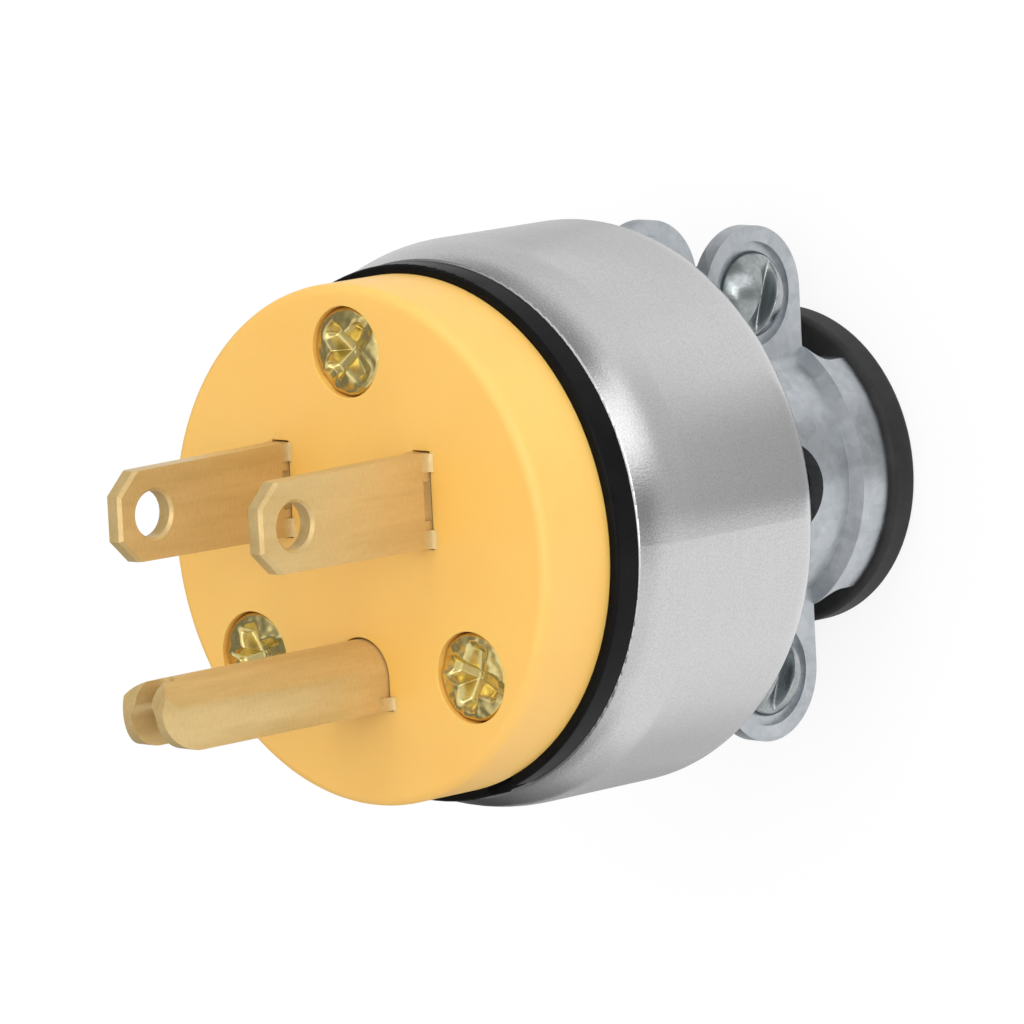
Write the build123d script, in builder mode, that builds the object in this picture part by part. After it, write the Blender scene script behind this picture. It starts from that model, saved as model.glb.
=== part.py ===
from build123d import *

import os

# Armoured grounding plug: straight blades in a moulded face, a drawn steel shell and a cord clamp.
# Sizes are in millimetres. The plug stands on the rear face of its cord bushing. The origin is the
# centre of that face, +Z runs along the axis towards the blades and +Y towards the upper face screw.

# Fits between pieces
slip_gap = 0.1  # round a piece that slides into another
hole_gap = 0.2  # round a screw that passes through a plain hole
thread_gap = 0.05  # round a screw in its tapped hole
screw_point = 0.5  # bevel at the end of every screw

# Places of the contacts, seen from the front
blade_spacing = 12.7  # between the middles of the two blades
blade_line = 3.35  # of the blades' middle above the axis
ground_drop = 11.55  # from the blades' middle down to the pin's middle

# Flat blades
blade_thickness = 1.3
blade_width = 6.1  # at the face
blade_length = 15.05  # in front of the face
blade_taper = 0.15  # of each edge, from the face to the tip
blade_tip_cut = 1.5  # corner cut, along the blade
blade_tip_side = 1.45  # corner cut, across the blade
blade_bevel = 0.22  # coined edge round the tip
blade_hole_radius = 1.5
blade_hole_inset = 3.0  # of the hole's middle from the tip
blade_hole_bevel = 0.2
blade_shoulder = 0.5  # step behind the face plate, each side
blade_bend_radius = 0.6  # inside the bend to the terminal tab
blade_tab_reach = 4.9  # of the terminal tab past the blade's outer side
stake_reach = 0.42  # of the lugs that are swaged out over the face
stake_width = 1.2
stake_height = 0.8
groove_width = 2.5  # left by the swaging tool in the blade's sides, between the lugs
groove_height = 0.55
groove_depth = 0.28

# U-folded grounding pin
pin_width = 4.7
pin_depth = 4.4
pin_sheet = 1.2
pin_length = 19.4  # in front of the face
pin_flare = 0.25  # of the lower edge of each leg
pin_flare_height = 0.85
pin_web_setback = 1.9  # of the folded back behind the tips of the legs
pin_tip_radius = 2.5  # of the lower corner of each leg
pin_notch_radius = 0.7  # in the end of the fold
pin_bevel_width = 0.8  # coined on the outer sides of the tips
pin_bevel_length = 2.0
pin_tab_width = 5.8
pin_tab_reach = 6.8  # of the terminal tab above the fold

# Terminal screws and their pressure plates
terminal_head_radius = 2.6
terminal_head_height = 1.8
terminal_head_edge = 0.8
terminal_screw_radius = 1.6
terminal_screw_reach = 2.6  # of the shank past the tab
terminal_edge = 2.5  # of the screw's middle from the end of the tab
terminal_slot_width = 0.8
terminal_slot_depth = 0.9
wire_plate_size = 4.8
wire_plate_thickness = 0.9
wire_plate_corner = 0.7

# Moulded face
face_inset = 0.6  # of the rim inside the liner's flange
face_rim_height = 5.9  # of the part that stands in front of the liner
face_edge_radius = 0.75
face_plate_thickness = 3.0
spigot_length = 4.6  # of the skirt inside the liner
spigot_wall = 1.5
tower_length = 5.8  # of the blocks that guide the contacts behind the plate
tower_wall = 1.2

# Screws of the face
face_screw_drop = 38.7  # degrees of the lower two below the horizontal
face_head_radius = 2.85
face_head_height = 1.75
face_head_edge = 1.1
face_pocket_depth = 1.6
face_screw_radius = 1.6
face_screw_grip = 6.0  # of the thread in its post
face_boss_wall = 1.3
face_slot_width = 1.05
face_slot_depth = 0.8
face_cross_width = 1.4
face_cross_length = 4.4
face_cross_depth = 1.3
face_cross_taper = 8.0  # degrees
face_screw_turns = {"upper": 44.0, "right": -18.0, "left": 19.0}  # degrees of the slots

# Black insulating liner
liner_wall = 0.9
liner_flange_inset = 0.05  # inside the shell's lip
liner_flange_thickness = 1.95
liner_flange_edge = 0.3
liner_notch_width = 2.4
liner_notch_depth = 0.9
liner_notch_angle = -69.0  # degrees from +X, seen from the front

# Drawn steel shell
shell_radius = 18.6
shell_wall = 0.8
shell_length = 16.85
shell_shoulder_radius = 3.0
shell_lip_inset = 1.1
shell_lip_length = 4.2
shell_edge_radius = 0.25

# Posts welded to the shell's rear wall
post_radius = 2.2

# Cord clamp
clamp_wall = 1.2
clamp_length = 15.1  # from the bushing's flange to the shell
clamp_gap = 8.0  # between the two halves
saddle_radius = 9.25
collar_rise = 0.9  # of the rear collar above the saddle
collar_length = 2.4
collar_ramp = 0.45
hook_reach = 2.4  # of the hook inside the shell past the saddle
hook_gap = 1.1  # between the hook and the posts
ear_radius = 4.55
ear_reach = 12.6  # of the screws from the axis
ear_height = 7.0  # of the screws above the bushing's flange
ear_root_radius = 1.2
ear_bend_radius = 1.0
cup_radius = 3.5  # pressed seat of the screw head
cup_depth = 0.4
window_radius = 3.3
window_height = 8.7  # of the saddle's round window above the bushing's flange

# Screws of the clamp
clamp_head_radius = 2.9
clamp_head_height = 2.0
clamp_head_edge = 0.3
clamp_screw_radius = 1.7
clamp_screw_end = 1.6  # of the thread past the far ear
clamp_slot_width = 0.9
clamp_slot_depth = 1.1
clamp_slot_turn = 19.0  # degrees of the slot from upright

# Rubber bushing
bushing_flange_radius = 10.65
bushing_flange_thickness = 2.2
bushing_flange_edge = 0.4
bushing_bore_radius = 5.5
bushing_inner_end = 2.0  # past the shell's rear wall

# Heights along the axis, from the rear to the front
flange_top = bushing_flange_thickness
collar_top = flange_top + collar_length
saddle_start = collar_top + collar_ramp
shell_rear = flange_top + clamp_length
shell_floor = shell_rear + shell_wall
hook_top = shell_floor + clamp_wall
shell_front = shell_rear + shell_length
face_seat = shell_front + liner_flange_thickness
face_front = face_seat + face_rim_height
plate_back = face_front - face_plate_thickness
spigot_rear = face_seat - spigot_length
head_seat = face_front - face_pocket_depth
tab_top = plate_back - tower_length
blade_tab_bottom = tab_top - blade_thickness
pin_tab_bottom = tab_top - pin_sheet
blade_tip = face_front + blade_length
pin_tip = face_front + pin_length

# Radii that follow from the fits
shell_bore = shell_radius - shell_wall
shell_lip_radius = shell_radius - shell_lip_inset
liner_flange_radius = shell_lip_radius - liner_flange_inset
face_radius = liner_flange_radius - face_inset
liner_outer = shell_lip_radius - shell_wall - slip_gap
liner_bore = liner_outer - liner_wall
spigot_radius = liner_bore - slip_gap
cavity_radius = spigot_radius - spigot_wall
saddle_bore = saddle_radius - clamp_wall
collar_radius = saddle_radius + collar_rise
collar_bore = collar_radius - clamp_wall
hook_radius = saddle_radius + hook_reach
boss_radius = face_screw_radius + hole_gap + face_boss_wall
face_screw_circle = spigot_radius - boss_radius
tab_circle = cavity_radius - slip_gap

# Places that follow from the sizes
blade_middle = blade_spacing / 2
blade_inner = blade_middle - blade_thickness / 2
blade_outer = blade_middle + blade_thickness / 2
blade_tab_end = blade_outer + blade_tab_reach
stake_top = face_front + stake_height
shoulder_width = blade_width + 2 * blade_shoulder
pin_middle = blade_line - ground_drop
pin_low = pin_middle - pin_depth / 2
pin_top = pin_middle + pin_depth / 2
pin_arch = pin_top - pin_width / 2
pin_foot = pin_width / 2 + pin_flare
pin_nose = pin_low + pin_tip_radius
pin_tab_end = pin_top + pin_tab_reach
ear_inner = clamp_gap / 2
ear_outer = ear_inner + clamp_wall
ear_end = ear_reach + ear_radius
ear_middle = flange_top + ear_height
window_middle = flange_top + window_height
saddle_edge = (saddle_radius**2 - ear_outer**2) ** 0.5
face_screws = {
    "upper": Vector(face_screw_circle, 0).rotate(Axis.Z, 90),
    "right": Vector(face_screw_circle, 0).rotate(Axis.Z, -face_screw_drop),
    "left": Vector(face_screw_circle, 0).rotate(Axis.Z, 180 + face_screw_drop),
}
hook_width = 2 * (-face_screws["right"].Y - post_radius - hook_gap)
terminals = {
    "line": (terminal_edge - blade_tab_end, blade_line, blade_tab_bottom),
    "neutral": (blade_tab_end - terminal_edge, blade_line, blade_tab_bottom),
    "ground": (0, pin_tab_end - terminal_edge, pin_tab_bottom),
}
terminal_centres = [(x, y) for x, y, z in terminals.values()]
ear_holes = [(ear_reach, ear_middle), (-ear_reach, ear_middle)]

# Planes that more than one piece is drawn on
blade_side = Plane(origin=(0, blade_line, 0), x_dir=(0, 1, 0), z_dir=(1, 0, 0))


def pin_outline(margin):
    """Outer outline of the grounding pin, grown by a margin."""
    side = pin_width / 2 + margin
    foot = pin_foot + margin
    low = pin_low - margin
    with BuildSketch() as outline:
        with BuildLine():
            Polyline((-side, pin_arch), (-side, low + pin_flare_height), (-foot, low), (foot, low))
            Polyline((foot, low), (side, low + pin_flare_height), (side, pin_arch))
            ThreePointArc((side, pin_arch), (0, pin_arch + side), (-side, pin_arch))
        make_face()
    return outline.sketch


def screw_blank(seat, head_radius, head_height, head_edge, shank_radius, shank_length):
    """Domed screw without its drive. The seat's +Z points out of the head."""
    section = Plane(seat.origin, x_dir=seat.x_dir, z_dir=-seat.y_dir)
    with BuildPart() as blank:
        with BuildSketch(section):
            with BuildLine():
                TangentArc((0, head_height), (head_radius, head_edge), tangent=(1, 0))
                Polyline(
                    (head_radius, head_edge),
                    (head_radius, 0),
                    (shank_radius, 0),
                    (shank_radius, screw_point - shank_length),
                    (shank_radius - screw_point, -shank_length),
                    (0, -shank_length),
                    (0, head_height),
                )
            make_face()
        revolve(axis=Axis(seat.origin, seat.z_dir))
    return blank.part


def lug_outline(root, side):
    """Section of a swaged lug that flares out of a contact's side at X = root, to the right for side = 1."""
    with BuildSketch() as outline:
        with BuildLine():
            TangentArc((root, stake_top), (root + side * stake_reach, face_front), tangent=(0, -1))
            Polyline(
                (root + side * stake_reach, face_front),
                (root - side * stake_reach, face_front),
                (root - side * stake_reach, stake_top),
                (root, stake_top),
            )
        make_face()
    return outline.sketch


def flat_blade():
    """Right-hand blade: strip with a cut tip, a shoulder, swaged lugs and a bent terminal tab."""
    half = blade_width / 2
    tip_half = half - blade_taper
    with BuildPart() as blade:
        # Folded strip, seen along the blade's width
        with BuildSketch(Plane.XZ.offset(-blade_line)):
            with BuildLine():
                Polyline(
                    (blade_inner, blade_tip),
                    (blade_outer, blade_tip),
                    (blade_outer, tab_top),
                    (blade_tab_end, tab_top),
                    (blade_tab_end, blade_tab_bottom),
                    (blade_inner, blade_tab_bottom),
                    close=True,
                )
            make_face()
            fillet(vertices().sort_by_distance((blade_outer, tab_top))[0], blade_bend_radius)
            bend_outside = vertices().sort_by_distance((blade_inner, blade_tab_bottom))[0]
            fillet(bend_outside, blade_bend_radius + blade_thickness)
        extrude(amount=shoulder_width, both=True)
        # Outline of the strip, seen from the side
        with BuildSketch(blade_side):
            with BuildLine():
                Polyline(
                    (0, blade_tab_bottom),
                    (shoulder_width / 2, blade_tab_bottom),
                    (shoulder_width / 2, plate_back),
                    (half, plate_back),
                    (half, face_front),
                    (tip_half, blade_tip - blade_tip_cut),
                    (tip_half - blade_tip_side, blade_tip),
                    (0, blade_tip),
                )
                mirror(about=Plane.YZ)
            make_face()
        extrude(amount=blade_tab_end, mode=Mode.INTERSECT)
        # Corners of the terminal tab, kept clear of the face's skirt
        with BuildSketch(Plane.XY.offset(blade_tab_bottom)):
            Circle(tab_circle)
        extrude(amount=blade_tip - blade_tab_bottom, mode=Mode.INTERSECT)
        # Coined edge round the tip
        rim = edges().filter_by(lambda edge: edge.center().Z > blade_tip - blade_tip_cut)
        chamfer(rim.filter_by(Axis.X, reverse=True), blade_bevel)
        # Hole near the tip, with bevelled edges
        with BuildSketch(blade_side):
            with Locations((0, blade_tip - blade_hole_inset)):
                Circle(blade_hole_radius)
        extrude(amount=blade_tab_end, mode=Mode.SUBTRACT)
        hole_rims = edges().filter_by(GeomType.CIRCLE).filter_by(lambda edge: edge.center().Z > face_front)
        chamfer(hole_rims, blade_hole_bevel)
        # Tapped hole of the terminal
        with BuildSketch(Plane.XY.offset(blade_tab_bottom)):
            with Locations((blade_tab_end - terminal_edge, blade_line)):
                Circle(terminal_screw_radius + thread_gap)
        extrude(amount=blade_thickness, mode=Mode.SUBTRACT)
        # Lugs swaged sideways over the face, flared out of the corners of the root, and the grooves between
        for end in (-1, 1):
            with BuildSketch(Plane.XZ.offset(-blade_line - end * (half - stake_width / 2))):
                for middle, side in ((blade_inner, -1), (blade_outer, 1)):
                    add(lug_outline(middle, side))
            extrude(amount=stake_width / 2, both=True)
        with BuildSketch(Plane.XY.offset(face_front)):
            with Locations((blade_inner, blade_line), (blade_outer, blade_line)):
                Rectangle(2 * groove_depth, groove_width)
        extrude(amount=groove_height, mode=Mode.SUBTRACT)
    return blade.part


def clamp_half(screw_hole_radius):
    """Right half of the cord clamp: a pressed saddle with two ears and a hook inside the shell."""
    with BuildPart() as half:
        # Outside of the saddle and of its stepped collar
        with BuildSketch(Plane.XZ):
            with BuildLine():
                Polyline(
                    (0, hook_top),
                    (saddle_radius, hook_top),
                    (saddle_radius, saddle_start),
                    (collar_radius, collar_top),
                    (collar_radius, flange_top),
                    (0, flange_top),
                    close=True,
                )
            make_face()
        revolve(axis=Axis.Z)
        # Ears with the bends at their roots, as one folded section along the axis
        with BuildSketch(Plane.XY.offset(flange_top)):
            Circle(saddle_radius)
            with Locations((ear_inner, 0)):
                Rectangle(clamp_wall, 2 * ear_end, align=(Align.MIN, Align.CENTER))
            outside = vertices().filter_by_position(Axis.X, ear_outer - slip_gap, ear_outer + slip_gap)
            fillet(outside.filter_by_position(Axis.Y, -ear_reach, ear_reach), ear_bend_radius)
        extrude(amount=clamp_length)
        # Side view of the ears and of the band between them
        with BuildSketch(Plane.YZ.offset(ear_inner)):
            with Locations((0, ear_middle)):
                SlotCenterToCenter(2 * ear_reach, 2 * ear_radius)
            with Locations((0, flange_top)):
                Rectangle(2 * saddle_edge, clamp_length, align=(Align.CENTER, Align.MIN))
            roots = vertices().filter_by_position(Axis.X, -saddle_edge - slip_gap, saddle_edge + slip_gap)
            inner_roots = roots.filter_by_position(Axis.Y, flange_top + slip_gap, shell_rear - slip_gap)
            fillet(inner_roots, ear_root_radius)
            with Locations((0, shell_rear)):
                Rectangle(hook_width, hook_top - shell_rear, align=(Align.CENTER, Align.MIN))
        extrude(amount=collar_radius, mode=Mode.INTERSECT)
        # Inside of the saddle and of its collar
        with BuildSketch(Plane.XZ):
            with BuildLine():
                Polyline(
                    (0, hook_top),
                    (saddle_bore, hook_top),
                    (saddle_bore, saddle_start),
                    (collar_bore, collar_top),
                    (collar_bore, flange_top),
                    (0, flange_top),
                    close=True,
                )
            make_face()
        revolve(axis=Axis.Z, mode=Mode.SUBTRACT)
        # Hook behind the shell's rear wall
        with BuildSketch(Plane.XY.offset(shell_floor)):
            Circle(hook_radius)
            Circle(saddle_bore, mode=Mode.SUBTRACT)
            with Locations((ear_inner, 0)):
                Rectangle(hook_radius, hook_width, align=(Align.MIN, Align.CENTER), mode=Mode.INTERSECT)
        extrude(amount=clamp_wall)
        # Round window in the saddle
        with BuildSketch(Plane.YZ):
            with Locations((0, window_middle)):
                Circle(window_radius)
        extrude(amount=collar_radius, mode=Mode.SUBTRACT)
        # Pressed seats and holes of the screws
        with BuildSketch(Plane.YZ.offset(ear_inner - cup_depth)):
            with Locations(*ear_holes):
                Circle(cup_radius)
        extrude(amount=cup_depth)
        with BuildSketch(Plane.YZ.offset(ear_outer - cup_depth)):
            with Locations(*ear_holes):
                Circle(cup_radius)
        extrude(amount=cup_depth, mode=Mode.SUBTRACT)
        with BuildSketch(Plane.YZ):
            with Locations(*ear_holes):
                Circle(screw_hole_radius)
        extrude(amount=ear_outer, mode=Mode.SUBTRACT)
    return half.part


os.makedirs("parts", exist_ok=True)

# Moulded face: a cup with a skirt, screw bosses and blocks that guide the contacts
with BuildPart() as front_face:
    with BuildSketch(Plane.XZ):
        with BuildLine():
            Polyline(
                (0, face_front),
                (face_radius, face_front),
                (face_radius, face_seat),
                (spigot_radius, face_seat),
                (spigot_radius, spigot_rear),
                (cavity_radius, spigot_rear),
                (cavity_radius, plate_back),
                (0, plate_back),
                close=True,
            )
        make_face()
    revolve(axis=Axis.Z)
    fillet(edges().group_by(Axis.Z)[-1], face_edge_radius)
    with BuildSketch(Plane.XY.offset(spigot_rear)):
        with Locations(*face_screws.values()):
            Circle(boss_radius)
        Circle(spigot_radius, mode=Mode.INTERSECT)
    extrude(amount=plate_back - spigot_rear)
    with BuildSketch(Plane.XY.offset(tab_top)):
        for side in (-1, 1):
            with Locations((side * (blade_inner - tower_wall + blade_tab_end) / 2, blade_line)):
                Rectangle(blade_tab_end - blade_inner + tower_wall, shoulder_width + 2 * tower_wall)
        with Locations((0, pin_low - tower_wall)):
            Rectangle(
                2 * (pin_foot + tower_wall),
                pin_tab_end - pin_low + tower_wall,
                align=(Align.CENTER, Align.MIN),
            )
        Circle(spigot_radius, mode=Mode.INTERSECT)
    extrude(amount=plate_back - tab_top)
    # Pockets and holes of the face screws
    with BuildSketch(Plane.XY.offset(head_seat)):
        with Locations(*face_screws.values()):
            Circle(face_head_radius + slip_gap)
    extrude(amount=face_pocket_depth, mode=Mode.SUBTRACT)
    with BuildSketch(Plane.XY.offset(spigot_rear)):
        with Locations(*face_screws.values()):
            Circle(face_screw_radius + hole_gap)
    extrude(amount=face_front - spigot_rear, mode=Mode.SUBTRACT)
    # Slots of the blades, with room for their shoulders and bends
    with BuildSketch(Plane.XY.offset(tab_top)):
        with Locations((-blade_middle, blade_line), (blade_middle, blade_line)):
            Rectangle(blade_thickness + 2 * slip_gap, blade_width + 2 * slip_gap)
    extrude(amount=face_front - tab_top, mode=Mode.SUBTRACT)
    with BuildSketch(Plane.XY.offset(tab_top)):
        with Locations((-blade_middle, blade_line), (blade_middle, blade_line)):
            Rectangle(blade_thickness + 2 * slip_gap, shoulder_width + 2 * slip_gap)
    extrude(amount=plate_back - tab_top, mode=Mode.SUBTRACT)
    with BuildSketch(Plane.XY.offset(tab_top)):
        for side in (-1, 1):
            with Locations((side * (blade_outer + blade_bend_radius / 2), blade_line)):
                Rectangle(blade_bend_radius + 2 * slip_gap, shoulder_width + 2 * slip_gap)
    extrude(amount=blade_bend_radius + slip_gap, mode=Mode.SUBTRACT)
    # Slot of the grounding pin and holes of the terminal screws
    with BuildSketch(Plane.XY.offset(tab_top)):
        add(pin_outline(slip_gap))
    extrude(amount=face_front - tab_top, mode=Mode.SUBTRACT)
    with BuildSketch(Plane.XY.offset(tab_top)):
        with Locations(*terminal_centres):
            Circle(terminal_screw_radius + hole_gap)
    extrude(amount=terminal_screw_reach + hole_gap, mode=Mode.SUBTRACT)
front_face.part.label = "front_face"
export_step(front_face.part, "parts/front_face.step")

# Blades, the left one a mirror image of the right one
with BuildPart() as neutral_blade:
    add(flat_blade())
neutral_blade.part.label = "neutral_blade"
export_step(neutral_blade.part, "parts/neutral_blade.step")

with BuildPart() as line_blade:
    mirror(flat_blade(), about=Plane.YZ)
line_blade.part.label = "line_blade"
export_step(line_blade.part, "parts/line_blade.step")

# Grounding pin: U-folded sheet whose legs run past the fold, on a flat terminal tab
with BuildPart() as ground_pin:
    with BuildSketch(Plane.XY.offset(pin_tab_bottom)):
        add(pin_outline(0))
        with Locations((0, pin_arch)):
            Circle(pin_width / 2 - pin_sheet, mode=Mode.SUBTRACT)
            Rectangle(
                pin_width - 2 * pin_sheet,
                pin_depth,
                align=(Align.CENTER, Align.MAX),
                mode=Mode.SUBTRACT,
            )
    extrude(amount=pin_tip - pin_tab_bottom)
    with BuildSketch(Plane.YZ):
        with BuildLine():
            TangentArc((pin_low, pin_tip - pin_tip_radius), (pin_nose, pin_tip), tangent=(0, 1))
            TangentArc((pin_nose, pin_tip), (pin_top, pin_tip - pin_web_setback), tangent=(1, 0))
            Polyline(
                (pin_top, pin_tip - pin_web_setback),
                (pin_top, pin_tab_bottom),
                (pin_low, pin_tab_bottom),
                (pin_low, pin_tip - pin_tip_radius),
            )
        make_face()
    extrude(amount=pin_foot, both=True, mode=Mode.INTERSECT)
    with BuildSketch(Plane.XZ.offset(-pin_arch)):
        with Locations((0, pin_tip - pin_web_setback)):
            Circle(pin_notch_radius)
    extrude(amount=-pin_width / 2, mode=Mode.SUBTRACT)
    with BuildSketch(Plane.XZ.offset(-pin_middle)):
        with BuildLine():
            Polyline(
                (0, pin_tab_bottom),
                (pin_foot, pin_tab_bottom),
                (pin_foot, pin_tip - pin_bevel_length),
                (pin_foot - pin_bevel_width, pin_tip),
                (0, pin_tip),
            )
            mirror(about=Plane.YZ)
        make_face()
    extrude(amount=pin_depth, both=True, mode=Mode.INTERSECT)
    with BuildSketch(Plane.XY.offset(pin_tab_bottom)):
        with Locations((0, pin_low)):
            Rectangle(pin_tab_width, pin_tab_end - pin_low, align=(Align.CENTER, Align.MIN))
    extrude(amount=pin_sheet)
    with BuildSketch(Plane.XZ.offset(-pin_low)):
        for side in (-1, 1):
            add(lug_outline(side * pin_foot, side))
    extrude(amount=-pin_flare_height)
    with BuildSketch(Plane.XY.offset(pin_tab_bottom)):
        with Locations((0, pin_tab_end - terminal_edge)):
            Circle(terminal_screw_radius + thread_gap)
    extrude(amount=pin_sheet, mode=Mode.SUBTRACT)
ground_pin.part.label = "ground_pin"
export_step(ground_pin.part, "parts/ground_pin.step")

# Insulating liner: a sleeve in the shell with a flange on the shell's front edge
with BuildPart() as insulating_liner:
    with BuildSketch(Plane.XZ):
        with BuildLine():
            Polyline(
                (liner_bore, shell_floor + shell_shoulder_radius - shell_wall),
                (liner_outer, shell_floor + shell_shoulder_radius - shell_wall),
                (liner_outer, shell_front),
                (liner_flange_radius, shell_front),
                (liner_flange_radius, face_seat),
                (liner_bore, face_seat),
                close=True,
            )
        make_face()
        fillet(vertices().sort_by_distance((liner_flange_radius, face_seat))[0], liner_flange_edge)
    revolve(axis=Axis.Z)
    with BuildSketch(Plane.XY.rotated((0, 0, liner_notch_angle)).offset(shell_front)):
        with Locations((liner_flange_radius - liner_notch_depth, 0)):
            Rectangle(liner_flange_radius, liner_notch_width, align=(Align.MIN, Align.CENTER))
    extrude(amount=liner_flange_thickness, mode=Mode.SUBTRACT)
insulating_liner.part.label = "insulating_liner"
export_step(insulating_liner.part, "parts/insulating_liner.step")

# Steel shell: a drawn cup with a rounded shoulder and a lip that turns in at the front
with BuildPart() as steel_shell:
    hole_radius = saddle_radius + hole_gap
    shoulder_radius = shell_radius - shell_shoulder_radius
    shoulder_top = shell_rear + shell_shoulder_radius
    lip_start = shell_front - shell_lip_length
    with BuildSketch(Plane.XZ):
        with BuildLine():
            Line((hole_radius, shell_rear), (shoulder_radius, shell_rear))
            TangentArc((shoulder_radius, shell_rear), (shell_radius, shoulder_top), tangent=(1, 0))
            Line((shell_radius, shoulder_top), (shell_radius, lip_start))
            TangentArc((shell_radius, lip_start), (shell_lip_radius, shell_front), tangent=(0, 1))
            Line((shell_lip_radius, shell_front), (shell_lip_radius - shell_wall, shell_front))
            TangentArc((shell_bore, lip_start), (shell_lip_radius - shell_wall, shell_front), tangent=(0, 1))
            Line((shell_bore, lip_start), (shell_bore, shoulder_top))
            TangentArc((shell_bore, shoulder_top), (shoulder_radius, shell_floor), tangent=(0, -1))
            Polyline((shoulder_radius, shell_floor), (hole_radius, shell_floor), (hole_radius, shell_rear))
        make_face()
        fillet(vertices().sort_by_distance((shell_lip_radius, shell_front))[0], shell_edge_radius)
    revolve(axis=Axis.Z)
steel_shell.part.label = "steel_shell"
export_step(steel_shell.part, "parts/steel_shell.step")

# Posts on the shell's rear wall, tapped for the face screws
for name, place in face_screws.items():
    with BuildPart() as shell_post:
        with BuildSketch(Plane.XY.offset(shell_floor)):
            with Locations(place):
                Circle(post_radius)
        extrude(amount=spigot_rear - shell_floor)
        with BuildSketch(Plane.XY.offset(spigot_rear)):
            with Locations(place):
                Circle(face_screw_radius + thread_gap)
        extrude(amount=-(face_screw_grip + hole_gap), mode=Mode.SUBTRACT)
    shell_post.part.label = f"{name}_shell_post"
    export_step(shell_post.part, f"parts/{name}_shell_post.step")

# Face screws: domed heads with a slot across a cross recess
for name, place in face_screws.items():
    seat = Plane((place.X, place.Y, head_seat)).rotated((0, 0, face_screw_turns[name]))
    face_screw_length = head_seat - spigot_rear + face_screw_grip
    with BuildPart() as face_screw:
        add(screw_blank(
            seat, face_head_radius, face_head_height, face_head_edge, face_screw_radius, face_screw_length
        ))
        with BuildSketch(seat.offset(face_head_height - face_slot_depth)):
            Rectangle(2 * face_head_radius, face_slot_width)
        extrude(amount=face_slot_depth, mode=Mode.SUBTRACT)
        with BuildSketch(seat.offset(face_head_height)):
            Rectangle(face_cross_length, face_cross_width)
            Rectangle(face_cross_width, face_cross_length)
        extrude(amount=-face_cross_depth, taper=face_cross_taper, mode=Mode.SUBTRACT)
    face_screw.part.label = f"{name}_face_screw"
    export_step(face_screw.part, f"parts/{name}_face_screw.step")

# Terminal screws, with the pressure plates under their heads
for name, (x, y, tab_bottom) in terminals.items():
    plate_seat = tab_bottom - wire_plate_thickness
    with BuildPart() as wire_plate:
        with BuildSketch(Plane.XY.offset(plate_seat)):
            with Locations((x, y)):
                RectangleRounded(wire_plate_size, wire_plate_size, wire_plate_corner)
                Circle(terminal_screw_radius + hole_gap, mode=Mode.SUBTRACT)
            Circle(tab_circle, mode=Mode.INTERSECT)
        extrude(amount=wire_plate_thickness)
    wire_plate.part.label = f"{name}_wire_plate"
    export_step(wire_plate.part, f"parts/{name}_wire_plate.step")

    seat = Plane((x, y, plate_seat), x_dir=(1, 0, 0), z_dir=(0, 0, -1))
    terminal_screw_length = tab_top - plate_seat + terminal_screw_reach
    with BuildPart() as terminal_screw:
        add(screw_blank(
            seat,
            terminal_head_radius,
            terminal_head_height,
            terminal_head_edge,
            terminal_screw_radius,
            terminal_screw_length,
        ))
        with BuildSketch(seat.offset(terminal_head_height - terminal_slot_depth)):
            Rectangle(2 * terminal_head_radius, terminal_slot_width)
        extrude(amount=terminal_slot_depth, mode=Mode.SUBTRACT)
    terminal_screw.part.label = f"{name}_terminal_screw"
    export_step(terminal_screw.part, f"parts/{name}_terminal_screw.step")

# Cord clamp: plain holes in the right half, tapped ones in the left half
with BuildPart() as right_clamp_half:
    add(clamp_half(clamp_screw_radius + hole_gap))
right_clamp_half.part.label = "right_clamp_half"
export_step(right_clamp_half.part, "parts/right_clamp_half.step")

with BuildPart() as left_clamp_half:
    mirror(clamp_half(clamp_screw_radius + thread_gap), about=Plane.YZ)
left_clamp_half.part.label = "left_clamp_half"
export_step(left_clamp_half.part, "parts/left_clamp_half.step")

# Clamp screws: slotted round heads in the pressed seats of the right half
clamp_seat = ear_outer - cup_depth
clamp_screw_length = clamp_seat + ear_outer + clamp_screw_end
for name, side in (("upper", 1), ("lower", -1)):
    slot_direction = Vector(0, 1, 0).rotate(Axis.X, -clamp_slot_turn)
    seat = Plane((clamp_seat, side * ear_reach, ear_middle), x_dir=slot_direction, z_dir=(1, 0, 0))
    with BuildPart() as clamp_screw:
        add(screw_blank(
            seat,
            clamp_head_radius,
            clamp_head_height,
            clamp_head_edge,
            clamp_screw_radius,
            clamp_screw_length,
        ))
        with BuildSketch(seat.offset(clamp_head_height - clamp_slot_depth)):
            Rectangle(2 * clamp_head_radius, clamp_slot_width)
        extrude(amount=clamp_slot_depth, mode=Mode.SUBTRACT)
    clamp_screw.part.label = f"{name}_clamp_screw"
    export_step(clamp_screw.part, f"parts/{name}_clamp_screw.step")

# Rubber bushing: a sleeve between the clamp's halves, with the flange that the plug stands on
with BuildPart() as cord_bushing:
    with BuildSketch(Plane.XZ):
        with BuildLine():
            Polyline(
                (bushing_bore_radius, 0),
                (bushing_flange_radius, 0),
                (bushing_flange_radius, flange_top),
                (collar_bore - slip_gap, flange_top),
                (collar_bore - slip_gap, collar_top),
                (saddle_bore - slip_gap, saddle_start),
                (saddle_bore - slip_gap, shell_floor + bushing_inner_end),
                (bushing_bore_radius, shell_floor + bushing_inner_end),
                close=True,
            )
        make_face()
        for height in (0, flange_top):
            fillet(vertices().sort_by_distance((bushing_flange_radius, height))[0], bushing_flange_edge)
    revolve(axis=Axis.Z)
cord_bushing.part.label = "cord_bushing"
export_step(cord_bushing.part, "parts/cord_bushing.step")
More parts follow.
